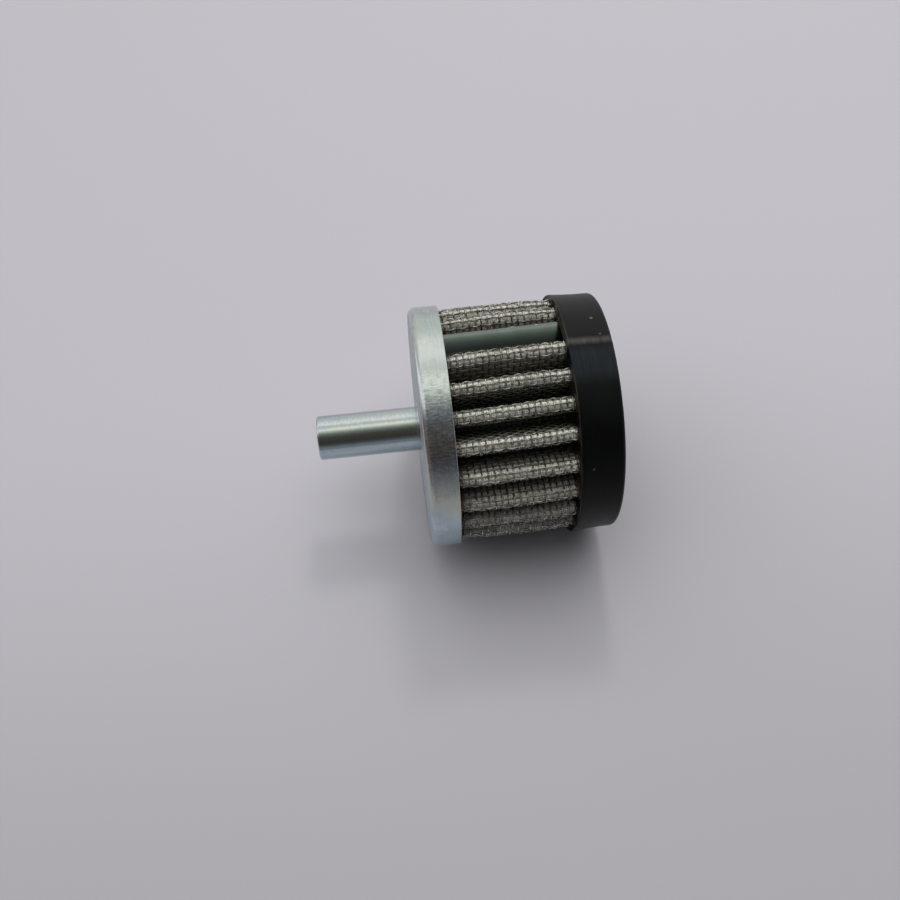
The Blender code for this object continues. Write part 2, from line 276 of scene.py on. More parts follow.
class Graph:
    """A node tree that is built by one method."""

    def __init__(self, tree: bpy.types.NodeTree) -> None:
        """Empty the tree."""
        self.tree = tree
        tree.nodes.clear()

    def node(
        self, kind: str, settings: dict | None = None, sockets: dict | None = None
    ) -> bpy.types.Node:
        """Add a node.

        Args:
            kind: The node's type, without the ShaderNode that all of them start with.
            settings: Its properties, and a ramp's stops as {"stops": [(place, colour), ...]}.
            sockets: Values or links of its inputs, by name or number.

        Returns:
            The new node.
        """
        node = self.tree.nodes.new(f"ShaderNode{kind}")
        for key, value in (settings or {}).items():
            if key == "stops":
                self._set_stops(node.color_ramp, value)
            else:
                setattr(node, key, value)
        for key, value in (sockets or {}).items():
            target = node.inputs[key]
            if isinstance(value, Signal):
                self.tree.links.new(value.socket, target)
            elif isinstance(value, tuple) and len(value) == 3 and target.type == "RGBA":
                target.default_value = (*value, 1.0)
            else:
                target.default_value = value
        return node

    @staticmethod
    def _set_stops(ramp: bpy.types.ColorRamp, stops: list[tuple[float, Colour]]) -> None:
        """Write a colour ramp's stops."""
        while len(ramp.elements) < len(stops):
            ramp.elements.new(1.0)
        for element, (place, colour) in zip(ramp.elements, stops):
            element.position = place
            element.color = (*colour, 1.0)

    def signal(self, node: bpy.types.Node, output: str | int = 0) -> Signal:
        """Wrap a node's output."""
        return Signal(self, node.outputs[output])

    def place(self, output: str = "Object") -> Signal:
        """Return a texture coordinate of the piece."""
        return self.signal(self.node("TexCoord"), output)

    def split(self, vector: Signal) -> tuple[Signal, Signal, Signal]:
        """Return a vector's three numbers."""
        node = self.node("SeparateXYZ", {}, {0: vector})
        return self.signal(node, 0), self.signal(node, 1), self.signal(node, 2)

    def joined(self, x: object, y: object, z: object) -> Signal:
        """Return a vector of three numbers."""
        return self.signal(self.node("CombineXYZ", {}, {0: x, 1: y, 2: z}))

    def noise(
        self, scale: float, detail: float = 3.0, rough: float = 0.6, at: Signal | None = None
    ) -> Signal:
        """Return fractal noise from 0 to 1, by the place on the piece or by another vector."""
        sockets = {"Vector": at or self.place(), "Scale": scale, "Detail": detail, "Roughness": rough}
        return self.signal(self.node("TexNoise", {}, sockets))

    def turned_noise(self, scale: Triple, detail: float = 3.0, rough: float = 0.6) -> Signal:
        """Return noise that is stretched by a factor for the turn, the radius and the level."""
        stretched = self.joined(*(part * factor for part, factor in zip(self.polar, scale)))
        return self.noise(1.0, detail, rough, stretched)

    def mix(self, share: object, first: object, second: object) -> Signal:
        """Mix two colours by a share."""
        node = self.node("Mix", {"data_type": "RGBA"}, {0: share, 6: first, 7: second})
        return self.signal(node, 2)

    def ramp(self, share: Signal, stops: list[tuple[float, Colour]]) -> Signal:
        """Return a colour that follows a number."""
        return self.signal(self.node("ValToRGB", {"stops": stops}, {0: share}))

    def bump(self, height: Signal, strength: float, distance: float) -> Signal:
        """Return a normal that follows a height, whose full range is the distance."""
        sockets = {"Strength": strength, "Distance": distance, "Height": height}
        return self.signal(self.node("Bump", {}, sockets))

    def turn(self, y: object, x: object) -> Signal:
        """Return the angle of a direction in radians."""
        return self.signal(self.node("Math", {"operation": "ARCTAN2"}, {0: y, 1: x}))

    def reach(self, x: object, y: object) -> Signal:
        """Return the length of a flat vector."""
        node = self.node("VectorMath", {"operation": "LENGTH"}, {0: self.joined(x, y, 0.0)})
        return self.signal(node, "Value")

    @cached_property
    def polar(self) -> tuple[Signal, Signal, Signal]:
        """Give the turn about Z in radians, the radius and the level of a point."""
        x, y, z = self.split(self.place())
        return self.turn(y, x), self.reach(x, y), z

    def marks(self, places: tuple[Mark, ...]) -> Signal:
        """Return 1 on small soft-edged marks and 0 elsewhere.

        Args:
            places: Each mark's turn about Z, its level, and its half sizes in both.

        Returns:
            The share of the marks, whose edge is where (turn / half)^2 + (rise / half)^2 is 1.
        """
        turn, _, level = self.polar
        share = None
        for at_turn, at_level, half_turn, half_level in places:
            aside, above = (turn - at_turn) / half_turn, (level - at_level) / half_level
            mark = 1.0 - (aside * aside + above * above).step(0.4, 1.2)
            share = mark if share is None else share.most(mark)
        return share

    def specks(self, scale: float, low: float, places: tuple[Mark, ...]) -> Signal:
        """Return 1 on rare specks, where a noise is over the low value, and on the given marks."""
        return self.noise(scale, 1.0, 0.5).step(low, low + 0.04).most(self.marks(places))


def new_material(name: str) -> tuple[Material, Graph]:
    """Return a new material and its empty graph."""
    material = bpy.data.materials.new(name)
    material.use_nodes = True
    return material, Graph(material.node_tree)


@dataclass(frozen=True)
class Finish(ABC):
    """One finish of the filter. A subclass works out the shader's inputs."""

    name: str

    @abstractmethod
    def sockets(self, graph: Graph) -> dict[str, object]:
        """Return the Principled shader's inputs by name."""

    def build(self) -> Material:
        """Return the material."""
        material, graph = new_material(self.name)
        shader = graph.signal(graph.node("BsdfPrincipled", {}, self.sockets(graph)))
        graph.node("OutputMaterial", {}, {"Surface": shader})
        return material


@dataclass(frozen=True)
class ZincPlate(Finish):
    """Zinc plate on steel: a grey metal with a faint rainbow, pale bloom and turned streaks.

    The tints by the turn about Z in degrees are partly the faint rainbow and partly painted
    reflection: they stand in for the colours that each side mirrors toward the camera, such as the
    table's pale blue underneath. The grain is coarsest about one turn, where the press has rippled
    the sheet, and it is painted lighter where raised and darker where sunk, a painted highlight and
    shade of the relief. The ends that face +Z are duller and painted darker, a painted shade.
    """

    rainbow_and_reflection_tints: tuple[tuple[float, Colour], ...]
    # Colour painted on the faces toward +Z, a painted shade.
    end: Colour
    roughness: float
    streak: float
    blemish: float
    grain: float
    rippled: float = -1.6
    warm: Colour = (0.54, 0.55, 0.50)
    cool: Colour = (0.42, 0.49, 0.56)
    bloom: Colour = (0.66, 0.68, 0.66)
    # Painted highlight on raised grain and painted shade in sunk grain.
    raised_grain_highlight: Colour = (0.76, 0.78, 0.78)
    sunk_grain_shade: Colour = (0.24, 0.25, 0.28)
    zone_share: float = 0.4
    relief: float = 0.02 * MM

    def sockets(self, graph: Graph) -> dict[str, object]:
        """Return the Principled shader's inputs by name."""
        turn = graph.polar[0]
        streaks = graph.turned_noise((7.0, 300.0, 3400.0))
        bands = graph.turned_noise((2.5, 120.0, 900.0), rough=0.5)
        mottle = graph.noise(3600.0, 2.0, 0.65)
        cloud = graph.noise(110.0, 4.0, 0.55)
        around = turn / (2 * math.pi) + 0.5 + (cloud - 0.5) * 0.05
        # Partly the zinc's faint rainbow, partly painted reflection: the tints by the turn stand in
        # for the colours mirrored toward the camera.
        rainbow_and_reflection_tint = graph.ramp(around, [(degrees / 360.0 + 0.5, colour) for degrees, colour in self.rainbow_and_reflection_tints])
        tint = graph.mix((cloud + (bands - 0.5) * 0.25).step(0.36, 0.64), self.cool, self.warm)
        tint = graph.mix(self.zone_share, rainbow_and_reflection_tint, tint)
        pale = graph.noise(230.0, 4.0, 0.65).step(0.52, 0.72)
        bloomed = graph.mix(pale * self.blemish, tint, self.bloom)
        _, _, upright = graph.split(graph.place("Normal"))
        away = (turn - self.rippled).size().step(0.15, 0.60)
        ripples = 1.0 - away.most(upright.size().step(0.3, 0.8))
        pressed = graph.turned_noise((75.0, 0.0, 750.0), 2.0)
        grain = (streaks - 0.5) * (1.2 - ripples * 0.5) + (mottle - 0.5) * self.grain * 0.5
        grain = grain + (pressed - 0.5) * self.grain * 3.2 * ripples
        # Raised grain is painted lighter and sunk grain darker, a painted highlight and a painted
        # shade that follow the bump.
        grain_highlighted = graph.mix(grain.step(0.0, 0.5) * 0.5, bloomed, self.raised_grain_highlight)
        grain_shaded = graph.mix((grain * -1.0).step(0.0, 0.5) * 0.5, grain_highlighted, self.sunk_grain_shade)
        # Faces toward +Z are painted darker with the end colour, a painted shade, and are made
        # rougher.
        end_face_shade = upright.step(0.90, 0.99)
        rough = self.roughness + (mottle - 0.5) * 0.16 + (streaks - 0.5) * self.streak
        height = streaks * 0.6 + mottle * 0.15 + pressed * ripples * self.grain * 2.5
        return {
            "Base Color": graph.mix(end_face_shade * 0.5, grain_shaded, self.end), "Metallic": 1.0,
            "Roughness": rough + pale * self.blemish * 0.12 + end_face_shade * 0.24,
            "Normal": graph.bump(height, 0.35, self.relief),
        }


@dataclass(frozen=True)
class MouldedRubber(Finish):
    """Black moulded rubber: satin, with turned lines, a lighter side, a scuff and specks.

    From the scuff round to the far side it is painted a lighter, browner tone. The bluish band under
    the scuff is a painted reflection of a window, and the lip's edge is painted lighter and browner,
    partly worn flash and partly a painted highlight.
    """

    scuff_azimuth: float
    lip_level: float
    specks: tuple[Mark, ...]
    colour: Colour = (0.0020, 0.0021, 0.0024)
    bloom: Colour = (0.0045, 0.0052, 0.0058)
    # A lighter, browner tone painted from the scuff round to the far side.
    side_tone: Colour = (0.0085, 0.0084, 0.0082)
    # Painted reflection: a bluish band that stands in for a window mirrored in the rubber.
    band: Colour = (0.010, 0.0145, 0.019)
    scuffed: Colour = (0.22, 0.21, 0.19)
    # The lip's edge: partly worn brown flash, partly a painted highlight where the edge catches light.
    worn_lip_and_highlight: Colour = (0.085, 0.070, 0.055)
    lip_height: float = 0.2 * MM
    roughness: float = 0.40
    sheen: float = 0.14
    relief: float = 0.06 * MM

    def sockets(self, graph: Graph) -> dict[str, object]:
        """Return the Principled shader's inputs by name."""
        turn, _, level = graph.polar
        lines = graph.turned_noise((5.0, 300.0, 3000.0), 4.0)
        cloud = graph.noise(130.0, 4.0)
        grain = graph.noise(3500.0, 2.0)
        specks = graph.specks(1100.0, 0.80, self.specks)
        wander = (graph.turned_noise((0.0, 0.0, 300.0), rough=0.55) - 0.5) * 0.03
        off = turn - self.scuff_azimuth + wander
        broken = 0.35 + graph.turned_noise((0.0, 0.0, 600.0), rough=0.55).step(0.20, 0.80)
        scuff = (1.0 - off.size().step(0.0, 0.05)) * broken
        brushed = (1.0 - (off + 0.12).size().step(0.05, 0.30)) * lines.step(0.48, 0.70)
        # From the scuff round to the far side the rubber is painted a lighter, browner tone.
        side = off.step(-0.02, 0.10) * (1.0 - (off - 2.2).step(0.0, 0.6))
        dusty = graph.mix(cloud.step(0.40, 0.75) * 0.5, self.colour, self.bloom)
        side_toned = graph.mix(side * (0.35 + lines * 0.5), dusty, self.side_tone)
        # The bluish band under the scuff is a painted reflection of a window.
        band = off.step(-0.40, -0.26) * (1.0 - off.step(-0.12, -0.02)) * (0.55 + lines * 0.7)
        with_painted_reflection = graph.mix(band, side_toned, self.band)
        # The lip's edge is painted lighter and browner, partly worn flash and partly a painted
        # highlight.
        lip = level.step(self.lip_level - self.lip_height, self.lip_level) * cloud.step(0.35, 0.60)
        worn_and_highlighted = graph.mix(lip * 0.6, with_painted_reflection, self.worn_lip_and_highlight)
        return {
            "Base Color": graph.mix(scuff * 0.34 + brushed * 0.03 + specks * 0.6, worn_and_highlighted, self.scuffed),
            "Roughness": self.roughness + (cloud - 0.5) * 0.12 + (lines - 0.5) * 0.16 + scuff * 0.1,
            "Specular IOR Level": self.sheen,
            "Normal": graph.bump(grain * 0.4 + lines * 0.6, 0.35, self.relief),
        }


@dataclass(frozen=True)
class GlueStain:
    """The amber adhesive that has soaked into the cloth by the cup's rim, further about one turn."""

    level: float
    colour: Colour = (0.11, 0.058, 0.030)
    soak: float = 0.9 * MM
    middle: float = -2.4
    half: float = 0.85
    ragged: float = 3.0 * MM
    edge: Pair = (-1.0 * MM, 1.2 * MM)

    def share(self, graph: Graph) -> Signal:
        """Return how much of the stain shows, from 0 to 1."""
        turn, _, level = graph.polar
        reach = (1.0 - (turn - self.middle).size().step(0.5 * self.half, self.half)) * self.soak
        return (level - self.level + reach + (graph.noise(330.0) - 0.5) * self.ragged).step(*self.edge)


@dataclass(frozen=True)
class WireFinish(Finish):
    """Drawn steel wire: dark and oily in patches, brown by the adhesive, and painted darker toward
    the folds, partly oil and partly painted shade.
    """

    glue: GlueStain
    colour: Colour = (0.20, 0.195, 0.165)
    bright: Colour = (0.72, 0.71, 0.66)
    roughness: float = 0.34
    fold_radii: Pair = (21.5 * MM, 24.4 * MM)
    relief: float = 0.04 * MM

    def sockets(self, graph: Graph) -> dict[str, object]:
        """Return the Principled shader's inputs by name."""
        fine = graph.noise(2400.0, 2.0)
        # Painted shade: wires are darker toward the folds, partly oil and partly shade from the folds.
        raised = graph.polar[1].step(*self.fold_radii)
        clean_and_unshaded = graph.noise(900.0).step(0.38, 0.68) * (0.30 + raised * 0.70)
        stain = self.glue.share(graph)
        metal = graph.mix(clean_and_unshaded, self.colour, self.bright)
        return {
            "Base Color": graph.mix(stain * 0.75, metal, self.glue.colour),
            "Metallic": 1.0 - stain * 0.8, "Roughness": self.roughness + (fine - 0.5) * 0.2,
            "Normal": graph.bump(fine, 0.25, self.relief),
        }


@dataclass(frozen=True)
class CottonGauze(Finish):
    """Loose cotton gauze: twisted threads both ways, pale and oil-stained.

    The piece's UV map is in metres along the cloth and up it. It is painted darker toward the folds,
    partly oil and partly painted shade, and darker on the side turned away from the lamps, a painted
    shade.
    """

    glue: GlueStain
    thread: Colour = (0.86, 0.84, 0.77)
    middle: Colour = (0.52, 0.49, 0.41)
    # Dark of the weave's hollows, also the colour of the painted shade.
    hollow_and_shade: Colour = (0.095, 0.088, 0.058)
    pitch: float = 0.46 * MM
    wobble: float = 0.7 * MM
    fold_radii: Pair = (18.8 * MM, 24.0 * MM)
    shaded_side: float = -2.6
    relief: float = 0.3 * MM

    def sockets(self, graph: Graph) -> dict[str, object]:
        """Return the Principled shader's inputs by name."""
        u, v, _ = graph.split(graph.place("UV"))
        aside = (graph.noise(900.0) - 0.5) * self.wobble
        warp, weft = (((run + aside) * (math.pi / self.pitch)).wave().size() for run in (u, v))
        fuzz = graph.noise(2300.0, rough=0.65)
        oil = graph.noise(420.0, 4.0)
        cover = warp.most(weft) * 0.25 + fuzz * 0.75
        cloth = graph.ramp(cover, [(0.36, self.hollow_and_shade), (0.50, self.middle), (0.66, self.thread)])
        turn, radius, _ = graph.polar
        # Painted shade: darker toward the folds, partly oil, and darker on the side turned away from
        # the lamps.
        deep = 1.0 - radius.step(*self.fold_radii)
        under = 1.0 - (turn - self.shaded_side).size().step(0.25, 0.60)
        oil_and_painted_shade = (oil.step(0.46, 0.70) * 0.45).most(deep * 0.65).most(under * (0.10 + oil * 0.5))
        oiled_and_shaded = graph.mix(oil_and_painted_shade, cloth, self.hollow_and_shade)
        return {
            "Base Color": graph.mix(self.glue.share(graph) * 0.8, oiled_and_shaded, self.glue.colour),
            "Roughness": 0.75 + (fuzz - 0.5) * 0.3,
            "Normal": graph.bump(cover, 0.8, self.relief),
        }


@dataclass(frozen=True)
class SetAdhesive(Finish):
    """Set amber adhesive: brown, glossy in places, a little uneven."""

    colour: Colour = (0.20, 0.098, 0.042)
    deep: Colour = (0.09, 0.047, 0.025)
    relief: float = 0.3 * MM

    def sockets(self, graph: Graph) -> dict[str, object]:
        """Return the Principled shader's inputs by name."""
        cloud = graph.noise(420.0, rough=0.55)
        return {
            "Base Color": graph.mix(cloud.step(0.35, 0.65), self.deep, self.colour),
            "Roughness": 0.32 + (cloud - 0.5) * 0.3, "Coat Weight": 0.3,
            "Normal": graph.bump(cloud, 0.4, self.relief),
        }


@dataclass(frozen=True)
class ClipSheet(Finish):
    """The seam clip's plated sheet: grey-green metal, smooth, with rolling lines and pale specks;
    the listed specks on its top edge are painted glints.
    """

    specks: tuple[Mark, ...]
    colour: Colour = (0.165, 0.182, 0.170)
    pale: Colour = (0.205, 0.225, 0.215)
    speck_and_glint: Colour = (0.55, 0.60, 0.58)
    roughness: float = 0.16
    relief: float = 0.03 * MM

    def sockets(self, graph: Graph) -> dict[str, object]:
        """Return the Principled shader's inputs by name."""
        lines = graph.turned_noise((220.0, 0.0, 60.0))
        # The listed marks are painted glints; the noise specks are pale specks.
        specks = graph.specks(1300.0, 0.79, self.specks)
        tint = graph.mix(graph.noise(300.0).step(0.4, 0.7) * 0.5, self.colour, self.pale)
        return {
            "Base Color": graph.mix(specks * 0.6, tint, self.speck_and_glint), "Metallic": 1.0 - specks * 0.8,
            "Roughness": self.roughness + (lines - 0.5) * 0.12,
            "Normal": graph.bump(lines, 0.15, self.relief),
        }


@dataclass
class PleatLine:
    """The pleated line of the element: ridge and valley folds joined by straight legs.

    Every fold is an arc about its own centre, so the line at another depth is the same arcs with
    a larger or smaller radius. The line at another level is the same line turned about Z, and
    between the cap and the cup it bows outwards a little.
    """

    tip_radius: float
    foot_level: float
    top_level: float
    grip_low: float
    grip_high: float
    pleats: int = 23
    pleat_depth: float = 9.65 * MM
    bow: float = 0.40 * MM
    ridge_fold: float = 1.65 * MM
    valley_fold: float = 0.3 * MM
    wander: float = 0.9
    wander_lobes: int = 5
    wander_azimuth: float = -117.0
    twist: float = 2.6
    twist_level: float = 22.0 * MM
    seam_azimuth: float = -43.9
    seam_to_ridge: float = 5.38 * MM
    seam_to_valley: float = 2.42 * MM
    seam_valley_rise: float = 0.4 * MM
    seam_end_radius: float = 17.9 * MM

    def twist_at(self, level: Array | float) -> Array | float:
        """Return the turn of the line at a level, in radians."""
        span = self.top_level - self.foot_level
        return np.radians(self.twist) * (self.twist_level - level) / span

    def folds(self) -> list[tuple[float, float, bool]]:
        """Return each fold's centre radius, azimuth in degrees and whether it is a ridge."""
        to_ridge = math.degrees(self.seam_to_ridge / (self.tip_radius - self.ridge_fold))
        pitch = (360.0 - 2 * to_ridge) / (self.pleats - 1)
        even = self.seam_azimuth + to_ridge + np.arange(self.pleats) * pitch
        lobes = np.radians(self.wander_lobes * (even - self.wander_azimuth))
        ridges = even + self.wander * np.sin(lobes)
        valley = self.tip_radius - self.pleat_depth + self.valley_fold
        seam_valley = valley + self.seam_valley_rise
        to_valley = math.degrees(self.seam_to_valley / seam_valley)
        folds = [(self.tip_radius - self.ridge_fold, azimuth, True) for azimuth in ridges]
        folds += [(valley, azimuth, False) for azimuth in 0.5 * (ridges[:-1] + ridges[1:])]
        for end, inwards in ((self.seam_azimuth, 1), (self.seam_azimuth + 360.0, -1)):
            folds.append((self.seam_end_radius, end, True))
            folds.append((seam_valley, end + inwards * to_valley, False))
        return sorted(folds, key=lambda fold: fold[1])

    def trace(
        self, depth: float, arc_steps: int, leg_steps: int, folds_only: bool = False
    ) -> Array:
        """Trace the line at a depth under the element's outer face.

        Each leg is the common tangent that crosses between two fold circles. A ridge's arc turns
        left with the depth taken from its radius, a valley's turns right with it added.

        Args:
            depth: How far under the outer face, negative outside it.
            arc_steps: Steps of each fold's arc.
            leg_steps: Steps of each straight leg.
            folds_only: Whether the seam's ends and valleys are left out.

        Returns:
            Rows of x, y, outward normal x and outward normal y.
        """
        folds = self.folds()
        radii = np.array([fold[0] for fold in folds])
        azimuths = np.radians([fold[1] for fold in folds])
        centres = np.stack([radii * np.cos(azimuths), radii * np.sin(azimuths)], axis=-1)
        across = np.diff(centres, axis=0)
        lean = np.arcsin((self.ridge_fold + self.valley_fold) / np.hypot(across[:, 0], across[:, 1]))
        ridge = np.array([fold[2] for fold in folds])
        headings = np.arctan2(across[:, 1], across[:, 0]) + np.where(ridge[:-1], lean, -lean)
        rows = []
        first, last = (2, len(folds) - 3) if folds_only else (0, len(folds) - 1)
        for index in range(first, last + 1):
            is_ridge = ridge[index]
            reach = self.ridge_fold - depth if is_ridge else self.valley_fold + depth
            side, outward = (-0.5 * math.pi, 1.0) if is_ridge else (0.5 * math.pi, -1.0)
            before = headings[max(index - 1, 0)]
            swing = (headings[min(index, len(headings) - 1)] - before) % (2 * math.pi)
            swing -= 0.0 if is_ridge else 2 * math.pi
            at_end = index in (0, len(folds) - 1)
            angle = before + side + swing * np.linspace(0.0, 1.0, 1 if at_end else arc_steps + 1)
            unit = np.stack([np.cos(angle), np.sin(angle)], axis=-1)
            block = np.hstack([centres[index] + reach * unit, outward * unit])
            if rows:
                share = np.linspace(0.0, 1.0, leg_steps + 1)[1:-1, None]
                rows.append(rows[-1][-1:] * (1 - share) + block[:1] * share)
            rows.append(block)
        return np.vstack(rows)

    def turned_to(self, x: Array, y: Array, level: Array) -> Array:
        """Turn flat points to their level and return them as places in space."""
        turn = self.twist_at(level)
        cos, sin = np.cos(turn), np.sin(turn)
        return np.stack(np.broadcast_arrays(x * cos - y * sin, x * sin + y * cos, level), axis=-1)

    def bowed(self, x: Array, y: Array, level: Array) -> Array:
        """Turn flat points to their level and move them out by the element's bow.

        The tips move out by bow * (4 t (1 - t))^0.6, t being the share of the free span.
        """
        share = np.clip((level - self.grip_low) / (self.grip_high - self.grip_low), 0.0, 1.0)
        swell = 1.0 + self.bow / self.tip_radius * (4 * share * (1 - share)) ** 0.6
        return self.turned_to(x * swell, y * swell, level)


@dataclass
class Cloth:
    """A layer's run along the pleats, looked up by the distance along its middle line."""

    line: PleatLine
    depth: float
    table: Array = field(init=False)
    along: Array = field(init=False)

    def __post_init__(self) -> None:
        """Trace the line finely and measure it."""
        self.table = self.line.trace(self.depth, 32, 24)
        steps = np.hypot(*np.diff(self.table[:, :2], axis=0).T)
        self.along = np.concatenate([[0.0], np.cumsum(steps)])

    @property
    def length(self) -> float:
        """Return the length of the cloth's run."""
        return float(self.along[-1])

    def at(self, distance: Array) -> tuple[Array, Array]:
        """Return the flat place and the outward normal at distances along the run."""
        x, y, nx, ny = (np.interp(distance, self.along, column) for column in self.table.T)
        scale = np.hypot(nx, ny)
        return np.stack([x, y], axis=-1), np.stack([nx / scale, ny / scale], axis=-1)


class Strand(Enum):
    """One half of a cloth's wires, every other one. Where one half passes over, the other dives."""

    ODD = 0
    EVEN = 1

    @property
    def sign(self) -> float:
        """Return 1 for the odd wires and -1 for the even ones."""
        return 1.0 - 2.0 * self.value


@dataclass
class PleatedElement:
    """The pleated element: a woven wire screen over gauze, with a finer backing behind them."""

    line: PleatLine
    hoop_pitch: float = 1.27 * MM
    rib_pitch: float = 1.42 * MM
    wire_radius: float = 0.16 * MM
    lift: float = 0.15 * MM
    sides: int = 5
    steps_per_cell: int = 3
    screen_depth: float = 0.31 * MM
    gauze_depth: float = 0.62 * MM
    gauze_bulge: float = 0.26 * MM
    low_level: float = 7.0 * MM
    high_level: float = 35.2 * MM
    unevenness: float = 0.10 * MM
    sway_run: float = 14.0 / 0.37 * MM
    sway_rise: float = 24.0 / 0.41 * MM
    hoop_wander: float = 0.07 * MM
    rib_wander: float = 0.08 * MM

    def screen(self) -> tuple[Cloth, int]:
        """Return the screen's cloth and its count of cells along the pleats."""
        cloth = Cloth(self.line, self.screen_depth)
        return cloth, round(cloth.length / self.rib_pitch)

    def hoop_levels(self) -> Array:
        """Return the levels of the wires that run round the pleats."""
        return np.arange(self.low_level, self.high_level, self.hoop_pitch)

    def rises(self) -> Array:
        """Return the steps up the cloth, in pitches of the hoops."""
        spans = len(self.hoop_levels()) - 1
        return np.linspace(0.0, spans, spans * self.steps_per_cell + 1)

    def sway(self, distance: Array, level: Array) -> Array:
        """Return how far the cloth stands off its true line: each pleat bows a little its own way."""
        u, v = distance * 2 * math.pi / self.sway_run, level * 2 * math.pi / self.sway_rise
        return self.unevenness * ripple(u, v, 11)

    def wires(
        self, name: str, spots: tuple[Array, Array], level: Array, off: Array, shift: Array | float,
        slope: Array, upward: bool,
    ) -> Piece:
        """Lay round wires on the cloth's middle line and sweep them.

        Args:
            name: The piece's name.
            spots: The line's flat places and normals, which fit wire x step x 2.
            level: The levels, which fit wire x step.
            off: How far each step stands off the line, wire x step.
            shift: How far each step lies along the line from its place.
            slope: The change of off for each metre along the wire, which fits wire x step.
            upward: Whether the wires run up the cloth.

        Returns:
            One object with every wire, each closed at both ends.
        """
        place, normal = spots
        x = place[..., 0] + normal[..., 0] * off - normal[..., 1] * shift
        y = place[..., 1] + normal[..., 1] * off + normal[..., 0] * shift
        out = self.line.turned_to(normal[..., 0], normal[..., 1], level)
        out[..., 2] = 0.0
        up = np.broadcast_to(UP, out.shape)
        ahead = np.cross(up, out)
        lean = np.arctan(slope)[..., None]
        tilted = out * np.cos(lean) - (up if upward else ahead) * np.sin(lean)
        across, other = (ahead, tilted) if upward else (tilted, up)

        count, steps = off.shape
        angle = np.arange(self.sides)[:, None] * 2 * math.pi / self.sides
        ring = np.cos(angle) * across[..., None, :] + np.sin(angle) * other[..., None, :]
        centre = self.line.bowed(x, y, level)[..., None, :]
        start = np.arange(count)[:, None] * steps * self.sides
        ends = np.arange(self.sides)
        faces = (start[..., None] + grid_faces(steps, self.sides, False, True)).reshape(-1, 4).tolist()
        faces += (start + ends[::-1]).tolist() + (start + (steps - 1) * self.sides + ends).tolist()
        return add_mesh(name, (centre + self.wire_radius * ring).reshape(-1, 3), faces)

    def hoops(self, strand: Strand) -> Piece:
        """Build half of the wires that run round the pleats, over and under the ribs.

        The wire's height over the middle line is lift * cos(pi * distance / rib pitch), with its
        sign turned from one wire to the next.
        """
        cloth, cells = self.screen()
        distance = np.linspace(0.0, cloth.length, cells * self.steps_per_cell + 1)[None, :]
        levels = self.hoop_levels()[strand.value::2, None]
        level = levels + self.hoop_wander * ripple(distance * 900.0, levels * 500.0, 5)
        lift, turns = strand.sign * self.lift, math.pi * cells / cloth.length
        off = lift * np.cos(turns * distance) + self.sway(distance, level)
        slope = -lift * turns * np.sin(turns * distance)
        name = f"screen_hoops_{strand.name.lower()}"
        return self.wires(name, cloth.at(distance), level, off, 0.0, slope, upward=False)

    def ribs(self, strand: Strand) -> Piece:
        """Build half of the wires that run along the pleats, crossing the hoops on the far side.

        The wire's height over the middle line is -lift * cos(pi * rise / hoop pitch).
        """
        cloth, cells = self.screen()
        distance = np.linspace(0.0, cloth.length, cells + 1)[strand.value::2, None]
        rise = self.rises()[None, :]
        level = self.low_level + rise * self.hoop_pitch
        lift, turns = strand.sign * self.lift, math.pi / self.hoop_pitch
        off = -lift * np.cos(math.pi * rise) + self.sway(distance, level)
        slope = lift * turns * np.sin(math.pi * rise)
        shift = self.rib_wander * ripple(distance * 700.0, level * 300.0, 8)
        name = f"screen_ribs_{strand.name.lower()}"
        return self.wires(name, cloth.at(distance), level, off, shift, slope, upward=True)

    def gauze(self) -> Piece:
        """Build the gauze: a pleated sheet that swells out through each cell of the screen.

        The swelling is bulge * sin^2(pi * distance / rib pitch) * sin^2(pi * rise / hoop pitch).
        """
        cloth = Cloth(self.line, self.gauze_depth)
        screen, cells = self.screen()
        share = np.linspace(0.0, 1.0, cells * self.steps_per_cell + 1)
        distance = np.interp(share * screen.length, screen.along, cloth.along)
        place, normal = cloth.at(distance)
        rise = self.rises()[:, None]
        level = self.low_level + rise * self.hoop_pitch
        swell = np.sin(math.pi * share * cells)[None, :] ** 2 * np.sin(math.pi * rise) ** 2
        fullness = 0.75 + 0.35 * ripple(distance[None, :] * 1900.0, level * 1700.0, 21)
        off = self.gauze_bulge * swell * fullness + self.sway(distance[None, :], level)
        x, y = (place[:, axis] + normal[:, axis] * off for axis in (0, 1))
        points = self.line.bowed(x, y, level).reshape(-1, 3)
        uv = np.stack(np.meshgrid(distance, level[:, 0]), axis=-1).reshape(-1, 2)
        faces = grid_faces(len(rise), len(share), False, False).tolist()
        return add_mesh("cotton_gauze_layer", points, faces, uv)


@dataclass
class CastRing:
    """What the end cap and the adhesive share: both are cast round the pleats' ends."""

    line: PleatLine
    clearance: float = 0.1 * MM
    core_radius: float = 13.5 * MM
    crown_radius: float = 23.4 * MM

    def outline(self) -> tuple[Array, Array, Array]:
        """Trace the pleats' outline, bridged by an arc over the seam clip.

        Returns:
            Its flat points, their turns about Z in radians, and unit vectors at those turns.
        """
        trace = self.line.trace(-self.clearance, 12, 6, folds_only=True)
        azimuth = np.unwrap(np.arctan2(trace[:, 1], trace[:, 0]))
        gap = azimuth[0] + 2 * math.pi - azimuth[-1]
        bridge = azimuth[-1] + gap * np.arange(1, 12) / 12
        crown = self.crown_radius * np.stack([np.cos(bridge), np.sin(bridge)], axis=-1)
        turn = np.concatenate([azimuth, bridge])
        return np.vstack([trace[:, :2], crown]), turn, np.stack([np.cos(turn), np.sin(turn)], axis=-1)

    def skin(self, name: str, profile: list, hoop: bool = False) -> Piece:
        """Join rings of flat points, each with its level or levels, turned with the pleats."""
        rings = [
            self.line.bowed(flat[:, 0], flat[:, 1], np.broadcast_to(level, len(flat)))
            for flat, level in profile
        ]
        return ring_stack(name, np.array(rings), hoop)


